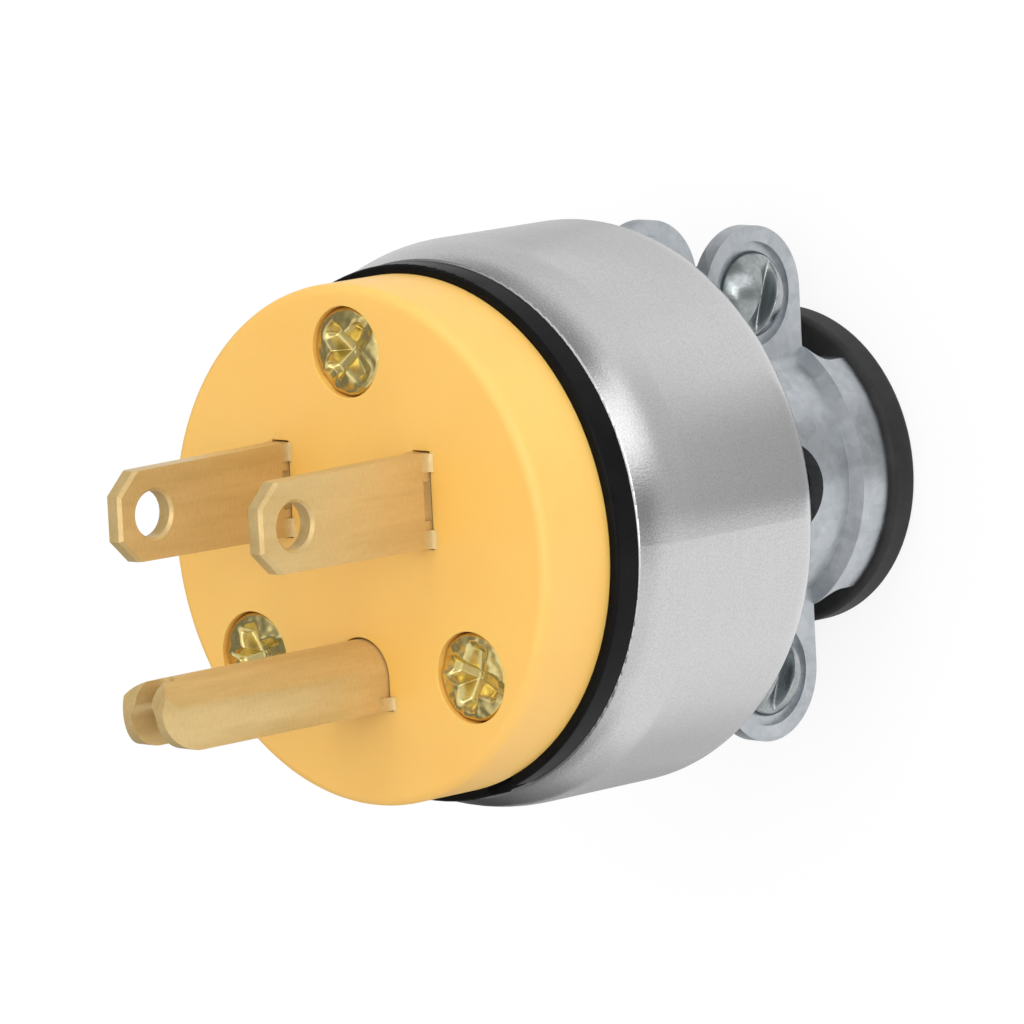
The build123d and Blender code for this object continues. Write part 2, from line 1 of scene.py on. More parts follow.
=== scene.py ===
"""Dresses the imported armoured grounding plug: pieces, threads, finishes, studio and camera."""

from __future__ import annotations

import logging
import math
from dataclasses import dataclass, replace
from enum import Enum
from typing import Any, Mapping, Optional, Sequence, Union

import bmesh
import bpy
from mathutils import Matrix, Vector, noise


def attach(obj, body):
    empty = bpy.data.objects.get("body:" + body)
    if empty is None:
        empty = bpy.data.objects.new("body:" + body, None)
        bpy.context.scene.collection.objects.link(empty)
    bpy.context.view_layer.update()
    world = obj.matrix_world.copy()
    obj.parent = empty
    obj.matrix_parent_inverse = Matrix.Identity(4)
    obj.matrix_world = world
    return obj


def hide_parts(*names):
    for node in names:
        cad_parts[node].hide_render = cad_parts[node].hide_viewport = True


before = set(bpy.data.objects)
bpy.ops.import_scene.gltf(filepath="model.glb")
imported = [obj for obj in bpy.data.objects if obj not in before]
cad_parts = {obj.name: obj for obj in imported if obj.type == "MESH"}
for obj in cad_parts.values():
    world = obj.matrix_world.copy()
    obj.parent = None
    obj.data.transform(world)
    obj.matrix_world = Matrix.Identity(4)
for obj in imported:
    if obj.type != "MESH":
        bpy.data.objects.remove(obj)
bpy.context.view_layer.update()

LOG = logging.getLogger("plug")
MM = 0.001
BODY = "root"
WHITE = (1.0, 1.0, 1.0, 1.0)
UNSTRETCHED = (1.0, 1.0, 1.0)
NOISE_MIDDLE = 0.5
WELD_DISTANCE = 1e-6
CARD_LIFT = 0.0001

Colour = tuple[float, float, float]
Point = tuple[float, float, float]
Pair = tuple[float, float]
Setting = Union[float, int, str, bool, Sequence[Any], "Signal"]
Sockets = dict[Union[str, int], Setting]


class Signal:
    """A node's output that takes part in Python arithmetic."""

    def __init__(self, maker: "NodeMaker", socket: Optional[bpy.types.NodeSocket]) -> None:
        """Wraps one output.

        Args:
            maker: Builder of the tree that the output is in.
            socket: The output itself, or None for a node without outputs.
        """
        self.maker = maker
        self.socket = socket

    def math(self, operation: str, *values: Setting) -> "Signal":
        """Adds one Math node.

        Args:
            operation: Blender's name of the operation.
            values: Numbers or signals, in the order of the node's inputs.

        Returns:
            The node's result.
        """
        return self.maker.add("ShaderNodeMath", {"operation": operation}, dict(enumerate(values)))

    def __add__(self, other: Setting) -> "Signal":
        """Sum."""
        return self.math("ADD", self, other)

    __radd__ = __add__

    def __sub__(self, other: Setting) -> "Signal":
        """Difference."""
        return self.math("SUBTRACT", self, other)

    def __rsub__(self, other: Setting) -> "Signal":
        """Difference from a number."""
        return self.math("SUBTRACT", other, self)

    def __mul__(self, other: Setting) -> "Signal":
        """Product."""
        return self.math("MULTIPLY", self, other)

    __rmul__ = __mul__

    def largest(self, other: Setting) -> "Signal":
        """The larger of two values."""
        return self.math("MAXIMUM", self, other)

    def between(self, low: float, high: float) -> "Signal":
        """Share of the way from low to high, kept within 0 and 1."""
        inputs = {"Value": self, "From Min": low, "From Max": high}
        return self.maker.add("ShaderNodeMapRange", {"clamp": True}, inputs)


class NodeMaker:
    """Adds nodes to one tree."""

    MIX_SHARE = 0
    MIX_FIRST = 6
    MIX_SECOND = 7
    MIX_RESULT = 2

    def __init__(self, tree: bpy.types.NodeTree) -> None:
        """Empties a tree to fill it.

        Args:
            tree: Node tree of a material or world.
        """
        self.tree = tree
        tree.nodes.clear()

    def add(
        self,
        kind: str,
        settings: Optional[Mapping[str, Any]] = None,
        inputs: Optional[Sockets] = None,
        output: Union[str, int] = 0,
    ) -> Signal:
        """Adds one node.

        Args:
            kind: Blender's type of the node.
            settings: The node's own properties, which are set first.
            inputs: Values or signals for its sockets, by name or place.
            output: Name or place of the output to give back.

        Returns:
            The output, or the first one where none is named.
        """
        node = self.tree.nodes.new(kind)
        for name, value in (settings or {}).items():
            setattr(node, name, value)
        for name, value in (inputs or {}).items():
            socket = node.inputs[name]
            if isinstance(value, Signal):
                self.tree.links.new(value.socket, socket)
            else:
                socket.default_value = value
        return Signal(self, node.outputs[output] if node.outputs else None)

    def mix(self, share: Signal, first: Colour, second: Colour) -> Signal:
        """Mixes two colours.

        Args:
            share: How much of the second one, from 0 to 1.
            first: Colour at 0.
            second: Colour at 1.

        Returns:
            The mixed colour.
        """
        inputs = {
            self.MIX_SHARE: share,
            self.MIX_FIRST: (*first, 1.0),
            self.MIX_SECOND: (*second, 1.0),
        }
        return self.add("ShaderNodeMix", {"data_type": "RGBA"}, inputs, self.MIX_RESULT)

    def place(self, stretch: Point = UNSTRETCHED) -> Signal:
        """Place on the object in millimetres.

        Args:
            stretch: Factor along each axis. Patterns are finer along an axis with a large one.

        Returns:
            The stretched place.
        """
        point = self.add("ShaderNodeTexCoord", output="Object")
        inputs = {0: point, 1: tuple(1.0 / MM * value for value in stretch)}
        return self.add("ShaderNodeVectorMath", {"operation": "MULTIPLY"}, inputs)

    def noise(
        self, place: Signal, scale: float, detail: float = 3.0, roughness: float = 0.5
    ) -> Signal:
        """Cloudy pattern from 0 to 1.

        Args:
            place: Point that the pattern is read at.
            scale: Spots per unit of that point.
            detail: Finer layers.
            roughness: Strength of the finer layers.

        Returns:
            The pattern's value.
        """
        inputs = {"Vector": place, "Scale": scale, "Detail": detail, "Roughness": roughness}
        return self.add("ShaderNodeTexNoise", None, inputs, "Fac")

    def cells(self, place: Signal, scale: float) -> Signal:
        """Random value from 0 to 1 for each cell of a crystalline pattern.

        Args:
            place: Point that the pattern is read at.
            scale: Cells per unit of that point.

        Returns:
            The cell's value.
        """
        inputs = {"Vector": place, "Scale": scale}
        colour = self.add("ShaderNodeTexVoronoi", {"feature": "F1"}, inputs, "Color")
        return self.add("ShaderNodeSeparateColor", None, {0: colour}, "Red")

    def bump(self, height: Signal, depth: float = 1.0) -> Signal:
        """Normal of a surface with that relief, which is depth millimetres for a height of 1."""
        inputs = {"Height": height, "Strength": 1.0, "Distance": depth * MM}
        return self.add("ShaderNodeBump", None, inputs)


def new_material(name: str) -> tuple[bpy.types.Material, NodeMaker]:
    """Makes an empty material.

    Args:
        name: The material's name.

    Returns:
        The material, and the builder of its tree.
    """
    material = bpy.data.materials.new(name)
    material.use_nodes = True
    return material, NodeMaker(material.node_tree)


class Finish:
    """A surface finish that makes its own material.

    Scales are in spots per millimetre and depths in millimetres. A range is the part of a
    pattern's values that is spread over 0 to 1.
    """

    name: str

    def material(self) -> bpy.types.Material:
        """Makes the material, or gives it back if it is there already.

        Returns:
            The finish's material.
        """
        name = f"{self.name}_finish"
        made = bpy.data.materials.get(name)
        if made is None:
            made, maker = new_material(name)
            shader = maker.add("ShaderNodeBsdfPrincipled", None, self.sockets(maker))
            maker.add("ShaderNodeOutputMaterial", None, {"Surface": shader})
        return made

    def sockets(self, maker: NodeMaker) -> Sockets:
        """Values of the shader's sockets.

        Args:
            maker: Builder of the material's tree.

        Returns:
            Socket names with their values or signals.
        """
        raise NotImplementedError


@dataclass(frozen=True)
class MouldedPlastic(Finish):
    """Satin moulded plastic that lets a little light in."""

    name: str
    colour: Colour
    deep_colour: Colour
    roughness: float
    glow: float
    glow_radius: Point = (1.0, 0.45, 0.15)
    glow_depth: float = 1.0
    refraction: float = 1.5
    cloud_scale: float = 0.12
    cloud_range: Pair = (0.35, 0.75)
    speckle_scale: float = 9.0
    speckle_range: Pair = (0.3, 0.8)
    speckle_share: float = 0.25
    gloss_spread: float = 0.14
    grain_scale: float = 5.0
    grain_depth: float = 0.004

    def sockets(self, maker: NodeMaker) -> Sockets:
        """Clouded colour, uneven gloss and a fine eroded grain.

        Args:
            maker: Builder of the material's tree.

        Returns:
            Socket names with their values or signals.
        """
        place = maker.place()
        clouds = maker.noise(place, self.cloud_scale, detail=2.0)
        speckle = maker.noise(place, self.speckle_scale, detail=4.0, roughness=0.6)
        grain = maker.noise(place, self.grain_scale, roughness=0.55)
        clouded = clouds.between(*self.cloud_range) * (1.0 - self.speckle_share)
        shade = clouded + speckle.between(*self.speckle_range) * self.speckle_share
        return {
            "Base Color": maker.mix(shade, self.colour, self.deep_colour),
            "Roughness": self.roughness + (speckle - NOISE_MIDDLE) * self.gloss_spread,
            "IOR": self.refraction,
            "Subsurface Weight": self.glow,
            "Subsurface Radius": self.glow_radius,
            "Subsurface Scale": self.glow_depth * MM,
            "Normal": maker.bump(grain, self.grain_depth),
        }


@dataclass(frozen=True)
class Metal(Finish):
    """Metal with a brushed grain, mottling and a fine relief."""

    name: str
    colour: Colour
    worn_colour: Colour
    roughness: float
    metallic: float = 1.0
    gloss_spread: float = 0.12
    grain_stretch: Point = UNSTRETCHED
    grain_scale: float = 4.0
    grain_depth: float = 0.002
    grain_range: Pair = (0.3, 0.75)
    sand_scale: float = 7.0
    sand_depth: float = 0.001
    mottle_stretch: Point = UNSTRETCHED
    mottle_scale: float = 0.6
    mottle_range: Pair = (0.35, 0.7)
    mottle_share: float = 0.5
    dent_stretch: Point = (1.0, 1.0, 0.15)
    dent_scale: float = 0.45
    dent_depth: float = 0.0

    def sockets(self, maker: NodeMaker) -> Sockets:
        """Mottled colour, gloss that varies along the grain, and relief of grain, sand and dents.

        Args:
            maker: Builder of the material's tree.

        Returns:
            Socket names with their values or signals.
        """
        along_grain = maker.place(self.grain_stretch)
        streaks = maker.noise(along_grain, self.grain_scale, detail=4.0, roughness=0.6)
        over_mottle = maker.place(self.mottle_stretch)
        spots = maker.noise(over_mottle, self.mottle_scale, detail=5.0, roughness=0.65)
        sand = maker.noise(maker.place(), self.sand_scale, roughness=0.7)
        dents = maker.noise(maker.place(self.dent_stretch), self.dent_scale, detail=2.0)
        mottled = spots.between(*self.mottle_range) * self.mottle_share
        worn = mottled + streaks.between(*self.grain_range) * (1.0 - self.mottle_share)
        grain_gloss = (streaks - NOISE_MIDDLE) * self.gloss_spread
        gloss = grain_gloss + (spots - NOISE_MIDDLE) * self.gloss_spread
        relief = streaks * self.grain_depth + sand * self.sand_depth + dents * self.dent_depth
        return {
            "Base Color": maker.mix(worn, self.colour, self.worn_colour),
            "Metallic": self.metallic,
            "Roughness": self.roughness + gloss,
            "Normal": maker.bump(relief),
        }


@dataclass(frozen=True)
class Galvanised(Finish):
    """Hot-dipped zinc: crystals of different grey under a gritty crust."""

    name: str
    pale_colour: Colour
    dark_colour: Colour
    roughness: float
    metallic: float = 1.0
    crystal_scale: float = 0.55
    crystal_share: float = 0.35
    fine_crystal_ratio: float = 2.6
    fine_crystal_share: float = 0.25
    crystal_middle: float = 0.3
    crystal_gloss: float = 0.18
    crust_scale: float = 1.6
    crust_range: Pair = (0.3, 0.7)
    crust_share: float = 0.4
    crust_depth: float = 0.008
    grit_scale: float = 7.0
    grit_gloss: float = 0.16
    grit_depth_ratio: float = 0.4

    def sockets(self, maker: NodeMaker) -> Sockets:
        """Grey and gloss that change from crystal to crystal, and the crust's relief.

        Args:
            maker: Builder of the material's tree.

        Returns:
            Socket names with their values or signals.
        """
        place = maker.place()
        crust = maker.noise(place, self.crust_scale, detail=6.0, roughness=0.65)
        grit = maker.noise(place, self.grit_scale, roughness=0.6)
        coarse = maker.cells(place, self.crystal_scale)
        fine = maker.cells(place, self.crystal_scale * self.fine_crystal_ratio)
        crystal = coarse * self.crystal_share + fine * self.fine_crystal_share
        shade = crystal + crust.between(*self.crust_range) * self.crust_share
        crystal_roughness = self.roughness + (crystal - self.crystal_middle) * self.crystal_gloss
        grit_depth = self.crust_depth * self.grit_depth_ratio
        return {
            "Base Color": maker.mix(shade, self.dark_colour, self.pale_colour),
            "Metallic": self.metallic,
            "Roughness": crystal_roughness + (grit - NOISE_MIDDLE) * self.grit_gloss,
            "Normal": maker.bump(crust * self.crust_depth + grit * grit_depth),
        }


@dataclass(frozen=True)
class Rubber(Finish):
    """Rubber, hard plastic or lacquer with dust in its grain."""

    name: str
    colour: Colour
    dust_colour: Colour
    roughness: float
    grain_depth: float
    grain_scale: float = 4.0
    grain_gloss: float = 0.2
    dust_scale: float = 0.5
    dust_range: Pair = (0.4, 0.8)
    dust_gloss: float = 0.16
    refraction: float = 1.48
    shine: float = 0.5

    def sockets(self, maker: NodeMaker) -> Sockets:
        """Dusty colour, uneven gloss and a moulded grain.

        Args:
            maker: Builder of the material's tree.

        Returns:
            Socket names with their values or signals.
        """
        place = maker.place()
        grain = maker.noise(place, self.grain_scale, detail=5.0, roughness=0.6)
        dust = maker.noise(place, self.dust_scale, detail=4.0, roughness=0.6)
        dusted = dust.between(*self.dust_range)
        grain_roughness = self.roughness + (grain - NOISE_MIDDLE) * self.grain_gloss
        return {
            "Base Color": maker.mix(dusted, self.colour, self.dust_colour),
            "Roughness": grain_roughness + (dust - NOISE_MIDDLE) * self.dust_gloss,
            "IOR": self.refraction,
            "Specular IOR Level": self.shine,
            "Normal": maker.bump(grain, self.grain_depth),
        }


class Finishes(Enum):
    """The plug's finishes."""

    YELLOW = MouldedPlastic(
        name="yellow_plastic",
        colour=(0.92, 0.55, 0.13),
        deep_colour=(0.90, 0.515, 0.112),
        roughness=0.42,
        glow=0.25,
    )
    CONTACT = Metal(
        name="contact_brass",
        colour=(0.71, 0.52, 0.235),
        worn_colour=(0.51, 0.345, 0.12),
        roughness=0.37,
        metallic=0.4,
        grain_stretch=(2.0, 0.6, 4.0),
        grain_scale=3.0,
        sand_depth=0.009,
        mottle_stretch=(1.0, 1.0, 0.12),
        mottle_share=0.6,
        dent_depth=0.10,
    )
    FACE_SCREW = Metal(
        name="face_screw_brass",
        colour=(0.82, 0.68, 0.29),
        worn_colour=(0.62, 0.50, 0.19),
        roughness=0.24,
        sand_depth=0.003,
    )
    SHELL = Metal(
        name="shell_steel",
        colour=(0.68, 0.68, 0.685),
        worn_colour=(0.52, 0.52, 0.53),
        roughness=0.16,
        grain_stretch=(0.06, 0.06, 6.0),
        grain_scale=2.0,
        grain_depth=0.0008,
        sand_depth=0.011,
        mottle_scale=8.0,
        mottle_share=0.8,
    )
    CLAMP = Galvanised(
        name="clamp_zinc",
        pale_colour=(0.61, 0.635, 0.665),
        dark_colour=(0.39, 0.42, 0.445),
        roughness=0.38,
    )
    CLAMP_SCREW = Metal(
        name="clamp_screw_zinc",
        colour=(0.46, 0.49, 0.495),
        worn_colour=(0.25, 0.275, 0.28),
        roughness=0.24,
        sand_depth=0.008,
    )
    LINER = Rubber(
        name="liner_black",
        colour=(0.005, 0.005, 0.005),
        dust_colour=(0.008, 0.008, 0.008),
        roughness=0.30,
        grain_depth=0.0015,
        shine=0.08,
    )
    BUSHING = Rubber(
        name="bushing_rubber",
        colour=(0.022, 0.022, 0.022),
        dust_colour=(0.036, 0.036, 0.036),
        roughness=0.60,
        grain_depth=0.006,
        shine=0.25,
    )
    LINE_SCREW = Metal(
        name="line_screw_brass",
        colour=(0.70, 0.50, 0.21),
        worn_colour=(0.58, 0.40, 0.15),
        roughness=0.24,
    )
    NEUTRAL_SCREW = Metal(
        name="neutral_screw_nickel",
        colour=(0.72, 0.72, 0.70),
        worn_colour=(0.60, 0.60, 0.58),
        roughness=0.22,
    )
    GROUND_SCREW = Rubber(
        name="ground_screw_green",
        colour=(0.03, 0.26, 0.08),
        dust_colour=(0.05, 0.33, 0.11),
        roughness=0.30,
        grain_depth=0.001,
    )
    PLATE = Metal(
        name="plate_steel",
        colour=(0.60, 0.60, 0.61),
        worn_colour=(0.52, 0.52, 0.53),
        roughness=0.33,
    )
    POST = Metal(
        name="post_steel",
        colour=(0.58, 0.58, 0.59),
        worn_colour=(0.50, 0.50, 0.51),
        roughness=0.36,
    )


def cad_solid(node: str) -> bpy.types.Object:
    """The CAD's own object of a solid."""
    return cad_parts[node]


def polar(radius: float, angle: float) -> Pair:
    """Place at a distance from the middle, in a direction in radians."""
    return radius * math.cos(angle), radius * math.sin(angle)


def ring_pairs(count: int) -> list[tuple[int, int]]:
    """Each place on a closed ring with the place after it."""
    return list(enumerate([*range(1, count), 0]))


def new_object(name: str, data: bpy.types.ID) -> bpy.types.Object:
    """Makes an object and puts it in the scene.

    Args:
        name: The object's name.
        data: Its mesh, lamp or camera.

    Returns:
        The new object.
    """
    made = bpy.data.objects.new(name, data)
    bpy.context.scene.collection.objects.link(made)
    return made


def dress(piece: bpy.types.Object, finish: Finishes) -> None:
    """Gives every slot of a piece one finish, and reports the piece.

    Args:
        piece: Mesh object.
        finish: The finish to use.
    """
    material = finish.value.material()
    if not piece.material_slots:
        piece.data.materials.append(material)
    for slot in piece.material_slots:
        slot.material = material
    LOG.info("%s: %s", piece.name, finish.value.name)


def new_piece(
    name: str, bm: bmesh.types.BMesh, finish: Finishes, crease_angle: float, *nodes: str
) -> bpy.types.Object:
    """Turns a mesh into a piece of the plug.

    Args:
        name: The piece's name.
        bm: Finished mesh, which is freed.
        finish: Its finish.
        crease_angle: Angle in degrees past which an edge is shaded sharp.
        nodes: Solids that it stands for.

    Returns:
        The new object.
    """
    mesh = bpy.data.meshes.new(name)
    for face in bm.faces:
        face.smooth = True
        face.material_index = 0
    bm.to_mesh(mesh)
    bm.free()
    piece = new_object(name, mesh)
    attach(piece, BODY)
    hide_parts(*nodes)
    dress(piece, finish)
    mesh.set_sharp_from_angle(angle=math.radians(crease_angle))
    return piece


@dataclass(frozen=True)
class TipSlot:
    """Round-ended slot that parts the fold of the grounding pin at its tip, in millimetres."""

    radius: float = 0.75
    setback: float = 1.9
    depth: float = 2.2
    margin: float = 1.0
    steps: int = 20

    def cutter(self, solid: bpy.types.Mesh) -> bpy.types.Mesh:
        """Makes the shape to take away.

        Args:
            solid: Mesh of the pin, with its tip towards +Z and its fold towards +Y.

        Returns:
            The closed shape of the slot.
        """
        tip = max(vertex.co.z for vertex in solid.vertices) / MM
        near_tip = tip - 2 * self.setback
        crest = max(vertex.co.y for vertex in solid.vertices if vertex.co.z / MM > near_tip) / MM
        angles = [math.pi * (1 + step / self.steps) for step in range(self.steps + 1)]
        outline = [polar(self.radius, angle) for angle in angles]
        past_tip = self.setback + self.margin
        outline += [(self.radius, past_tip), (-self.radius, past_tip)]
        levels = (crest - self.depth, crest + self.margin)
        middle = tip - self.setback
        points = [(x * MM, y * MM, (middle + z) * MM) for y in levels for x, z in outline]
        count = len(outline)
        ends = [tuple(range(count))[::-1], tuple(range(count, 2 * count))]
        sides = [(here, there, there + count, here + count) for here, there in ring_pairs(count)]
        mesh = bpy.data.meshes.new("tip_slot")
        mesh.from_pydata(points, [], [*ends, *sides])
        bm = bmesh.new()
        bm.from_mesh(mesh)
        bmesh.ops.recalc_face_normals(bm, faces=bm.faces)
        bm.to_mesh(mesh)
        bm.free()
        return mesh

    def cut(self, solid: bpy.types.Mesh) -> bpy.types.Mesh:
        """Takes the slot out of a copy of the pin's mesh.

        Args:
            solid: Mesh of the pin.

        Returns:
            The slotted copy.
        """
        work = new_object("slot_work", solid.copy())
        tool = new_object("slot_tool", self.cutter(solid))
        difference = work.modifiers.new("slot", "BOOLEAN")
        difference.operation = "DIFFERENCE"
        difference.solver = "EXACT"
        difference.object = tool
        depsgraph = bpy.context.evaluated_depsgraph_get()
        slotted = bpy.data.meshes.new_from_object(work.evaluated_get(depsgraph))
        for item in (work, tool):
            bpy.data.meshes.remove(item.data)
        return slotted


@dataclass(frozen=True)
class Rounding:
    """Rounds the sharp edges of a solid's mesh, in millimetres and degrees."""

    width: float
    segments: int = 2
    profile: float = 0.5
    flat_angle: float = 0.4
    sharp_angle: float = 28.0
    crease_angle: float = 60.0
    slot: Optional[TipSlot] = None

    def mesh_of(self, node: str) -> bmesh.types.BMesh:
        """Copies a solid's mesh with its sharp edges rounded.

        Args:
            node: Name of the solid.

        Returns:
            The rounded copy.
        """
        solid = cad_solid(node).data
        bm = bmesh.new()
        bm.from_mesh(self.slot.cut(solid) if self.slot else solid)
        bmesh.ops.remove_doubles(bm, verts=bm.verts, dist=WELD_DISTANCE)
        flat = math.radians(self.flat_angle)
        bmesh.ops.dissolve_limit(bm, angle_limit=flat, verts=bm.verts, edges=bm.edges)
        limit = math.radians(self.sharp_angle)
        sharp = [edge for edge in bm.edges if edge.is_manifold and edge.calc_face_angle() > limit]
        bmesh.ops.bevel(
            bm,
            geom=sharp,
            offset=self.width * MM,
            offset_type="OFFSET",
            segments=self.segments,
            profile=self.profile,
            affect="EDGES",
            clamp_overlap=True,
            face_strength_mode="ALL",
        )
        for layer in list(bm.loops.layers.float_vector):
            bm.loops.layers.float_vector.remove(layer)
        return bm

    def build(self, name: str, node: str, finish: Finishes) -> None:
        """Makes the rounded piece that stands for a solid.

        Args:
            name: The piece's name.
            node: Name of the solid.
            finish: Its finish.
        """
        piece = new_piece(name, self.mesh_of(node), finish, self.crease_angle, node)
        weighted = piece.modifiers.new("flat_sides", "WEIGHTED_NORMAL")
        weighted.mode = "CORNER_ANGLE"
        weighted.keep_sharp = True
        weighted.use_face_influence = True


def eased(share: float) -> float:
    """Smooth step from 0 at share -1 to 1 at share 1."""
    level = min(max(share / 2 + 0.5, 0.0), 1.0)
    return level * level * (3.0 - 2.0 * level)


@dataclass(frozen=True)
class Groove:
    """Straight groove of a screw's drive, in millimetres and degrees."""

    length: float
    width: float
    depth: float
    turn: float = 0.0
    rise: float = 0.0
    softness: float = 0.1

    def cut(self, x: float, y: float, surface: float, crown: float) -> float:
        """Height of the head's surface with the groove in it.

        Args:
            x: Place across the head.
            y: Place across the head, square to x.
            surface: Height there without the groove.
            crown: Height of the head's middle, which the depth is measured from.

        Returns:
            The height there.
        """
        turn = math.radians(self.turn)
        along = abs(x * math.cos(turn) + y * math.sin(turn))
        across = abs(y * math.cos(turn) - x * math.sin(turn))
        end = eased((self.length / 2 - along) / self.softness)
        side = eased((self.width / 2 - across) / self.softness)
        floor = crown - self.depth * (1.0 - self.rise * min(2 * along / self.length, 1.0))
        return surface + (min(floor, surface) - surface) * end * side


class Facing(Enum):
    """Where a screw's head faces, as the axes across its head and the one along its shank."""

    FRONT = (0, 1, 2)
    RIGHT = (1, 2, 0)


@dataclass(frozen=True)
class Screw:
    """Threaded screw with a domed head, in millimetres and degrees."""

    facing: Facing
    finish: Finishes
    head_height: float
    head_edge: float
    rim_radius: float
    shank_radius: float
    grooves: tuple[Groove, ...]
    pitch: float = 0.8
    thread_depth: float = 0.3
    point: float = 0.5
    wear: float = 0.03
    wear_scale: float = 1.6
    crease_angle: float = 50.0
    segments: int = 180
    rings: int = 80
    rows_per_pitch: int = 6

    def turned(self, turn: float) -> "Screw":
        """The same screw with its drive turned by so many degrees."""
        grooves = tuple(replace(groove, turn=groove.turn + turn) for groove in self.grooves)
        return replace(self, grooves=grooves)

    def head_height_at(self, x: float, y: float, reach: float) -> float:
        """Height of the head's surface above its seat.

        Args:
            x: Place across the head.
            y: Place across the head, square to x.
            reach: The head's radius.

        Returns:
            The height there.
        """
        radius = math.hypot(x, y)
        rise = self.head_height - self.head_edge
        dome = (reach**2 + rise**2) / (2 * rise)
        past_rim = max(radius - (reach - self.rim_radius), 0.0)
        rim_drop = self.rim_radius - math.sqrt(max(self.rim_radius**2 - past_rim**2, 0.0))
        surface = self.head_height - dome + math.sqrt(dome**2 - radius**2) - rim_drop
        lumps = noise.noise(Vector((x, y, self.grooves[0].turn)) * self.wear_scale) * self.wear
        return min(groove.cut(x, y, surface + lumps, self.head_height) for groove in self.grooves)

    def thread_radius_at(self, depth: float, angle: float, length: float) -> float:
        """Radius of the shank below the seat.

        Args:
            depth: Distance below the seat.
            angle: Direction from the axis, in radians.
            length: The shank's length.

        Returns:
            The radius there.
        """
        phase = (depth / self.pitch + angle / math.tau) % 1.0
        ridge = self.shank_radius - self.thread_depth * abs(2 * phase - 1)
        return min(ridge, self.shank_radius - self.point + length - depth)

    def rows(self, reach: float, length: float) -> list[list[Point]]:
        """Rings of points from the head's middle to the shank's end, with the seat at height 0.

        Args:
            reach: The head's radius.
            length: The shank's length.

        Returns:
            The rings, each with as many points as the screw has segments.
        """
        angles = [math.tau * step / self.segments for step in range(self.segments)]
        rows = []
        for ring in range(1, self.rings + 1):
            places = [polar(reach * ring / self.rings, angle) for angle in angles]
            rows.append([(x, y, self.head_height_at(x, y, reach)) for x, y in places])
        for radius in (reach, self.shank_radius):
            rows.append([(*polar(radius, angle), 0.0) for angle in angles])
        steps = round(length / self.pitch * self.rows_per_pitch)
        for step in range(1, steps + 1):
            depth = length * step / steps
            radii = [self.thread_radius_at(depth, angle, length) for angle in angles]
            rows.append([(*polar(*turned), -depth) for turned in zip(radii, angles)])
        return rows

    def build(self, name: str, node: str) -> None:
        """Makes the screw in the place of its solid.

        Args:
            name: The piece's name.
            node: Name of the solid.
        """
        points = [vertex.co / MM for vertex in cad_solid(node).data.vertices]
        low = [min(point[axis] for point in points) for axis in range(3)]
        high = [max(point[axis] for point in points) for axis in range(3)]
        first, second, along = self.facing.value
        seat = Vector((0.0, 0.0, 0.0))
        seat[first] = (low[first] + high[first]) / 2
        seat[second] = (low[second] + high[second]) / 2
        seat[along] = high[along] - self.head_height
        reach = (high[first] - low[first]) / 2
        length = seat[along] - low[along]
        bm = bmesh.new()

        def vertex(place: Point) -> bmesh.types.BMVert:
            """Adds one point.

            Args:
                place: The point from the seat, in the head's own directions.

            Returns:
                The new vertex.
            """
            spot = seat.copy()
            for axis, value in zip((first, second, along), place):
                spot[axis] += value
            return bm.verts.new(spot * MM)

        rings = [[vertex(place) for place in row] for row in self.rows(reach, length)]
        crown = vertex((0.0, 0.0, self.head_height_at(0.0, 0.0, reach)))
        tip = vertex((0.0, 0.0, -length))
        pairs = ring_pairs(self.segments)
        for upper, lower in zip(rings, rings[1:]):
            for here, there in pairs:
                bm.faces.new((upper[here], lower[here], lower[there], upper[there]))
        for end, ring, order in ((crown, rings[0], 1), (tip, rings[-1], -1)):
            for here, there in pairs:
                bm.faces.new((end, ring[here], ring[there])[::order])
        new_piece(name, bm, self.finish, self.crease_angle, node)


@dataclass
class FaceAssembly:
    """Moulded face with its contacts and screws.

    The screws have a slot across a cross recess. Each turn is in degrees from +X.
    """

    face_rounding: Rounding = Rounding(width=0.12)
    blade_rounding: Rounding = Rounding(width=0.07)
    pin_rounding: Rounding = Rounding(width=0.07, slot=TipSlot())
    screw: Screw = Screw(
        facing=Facing.FRONT,
        finish=Finishes.FACE_SCREW,
        head_height=1.75,
        head_edge=1.4,
        rim_radius=0.25,
        shank_radius=1.6,
        grooves=(
            Groove(length=4.0, width=1.2, depth=1.3, rise=0.3, softness=0.38),
            Groove(length=4.0, width=1.2, depth=1.3, turn=90.0, rise=0.3, softness=0.38),
            Groove(length=6.2, width=0.9, depth=0.6, softness=0.28),
        ),
        wear=0.09,
    )
    screw_turns: tuple[tuple[str, float], ...] = (("upper", 44.0), ("right", -18.0), ("left", 19.0))

    def build(self) -> None:
        """Makes the face, the blades, the pin and the face screws."""
        self.face_rounding.build("face_moulding", "front_face", Finishes.YELLOW)
        for name in ("neutral_blade", "line_blade"):
            self.blade_rounding.build(f"{name}_contact", name, Finishes.CONTACT)
        self.pin_rounding.build("ground_pin_contact", "ground_pin", Finishes.CONTACT)
        for side, turn in self.screw_turns:
            node = f"{side}_face_screw"
            self.screw.turned(turn).build(f"{node}_driven", node)


@dataclass
class ShellAssembly:
    """Steel shell with its liner and posts."""

    rounding: Rounding = Rounding(width=0.15)
    sides: tuple[str, ...] = ("upper", "right", "left")

    def build(self) -> None:
        """Makes the liner, and dresses the shell and the posts."""
        dress(cad_solid("steel_shell"), Finishes.SHELL)
        self.rounding.build("liner_sleeve", "insulating_liner", Finishes.LINER)
        for side in self.sides:
            dress(cad_solid(f"{side}_shell_post"), Finishes.POST)


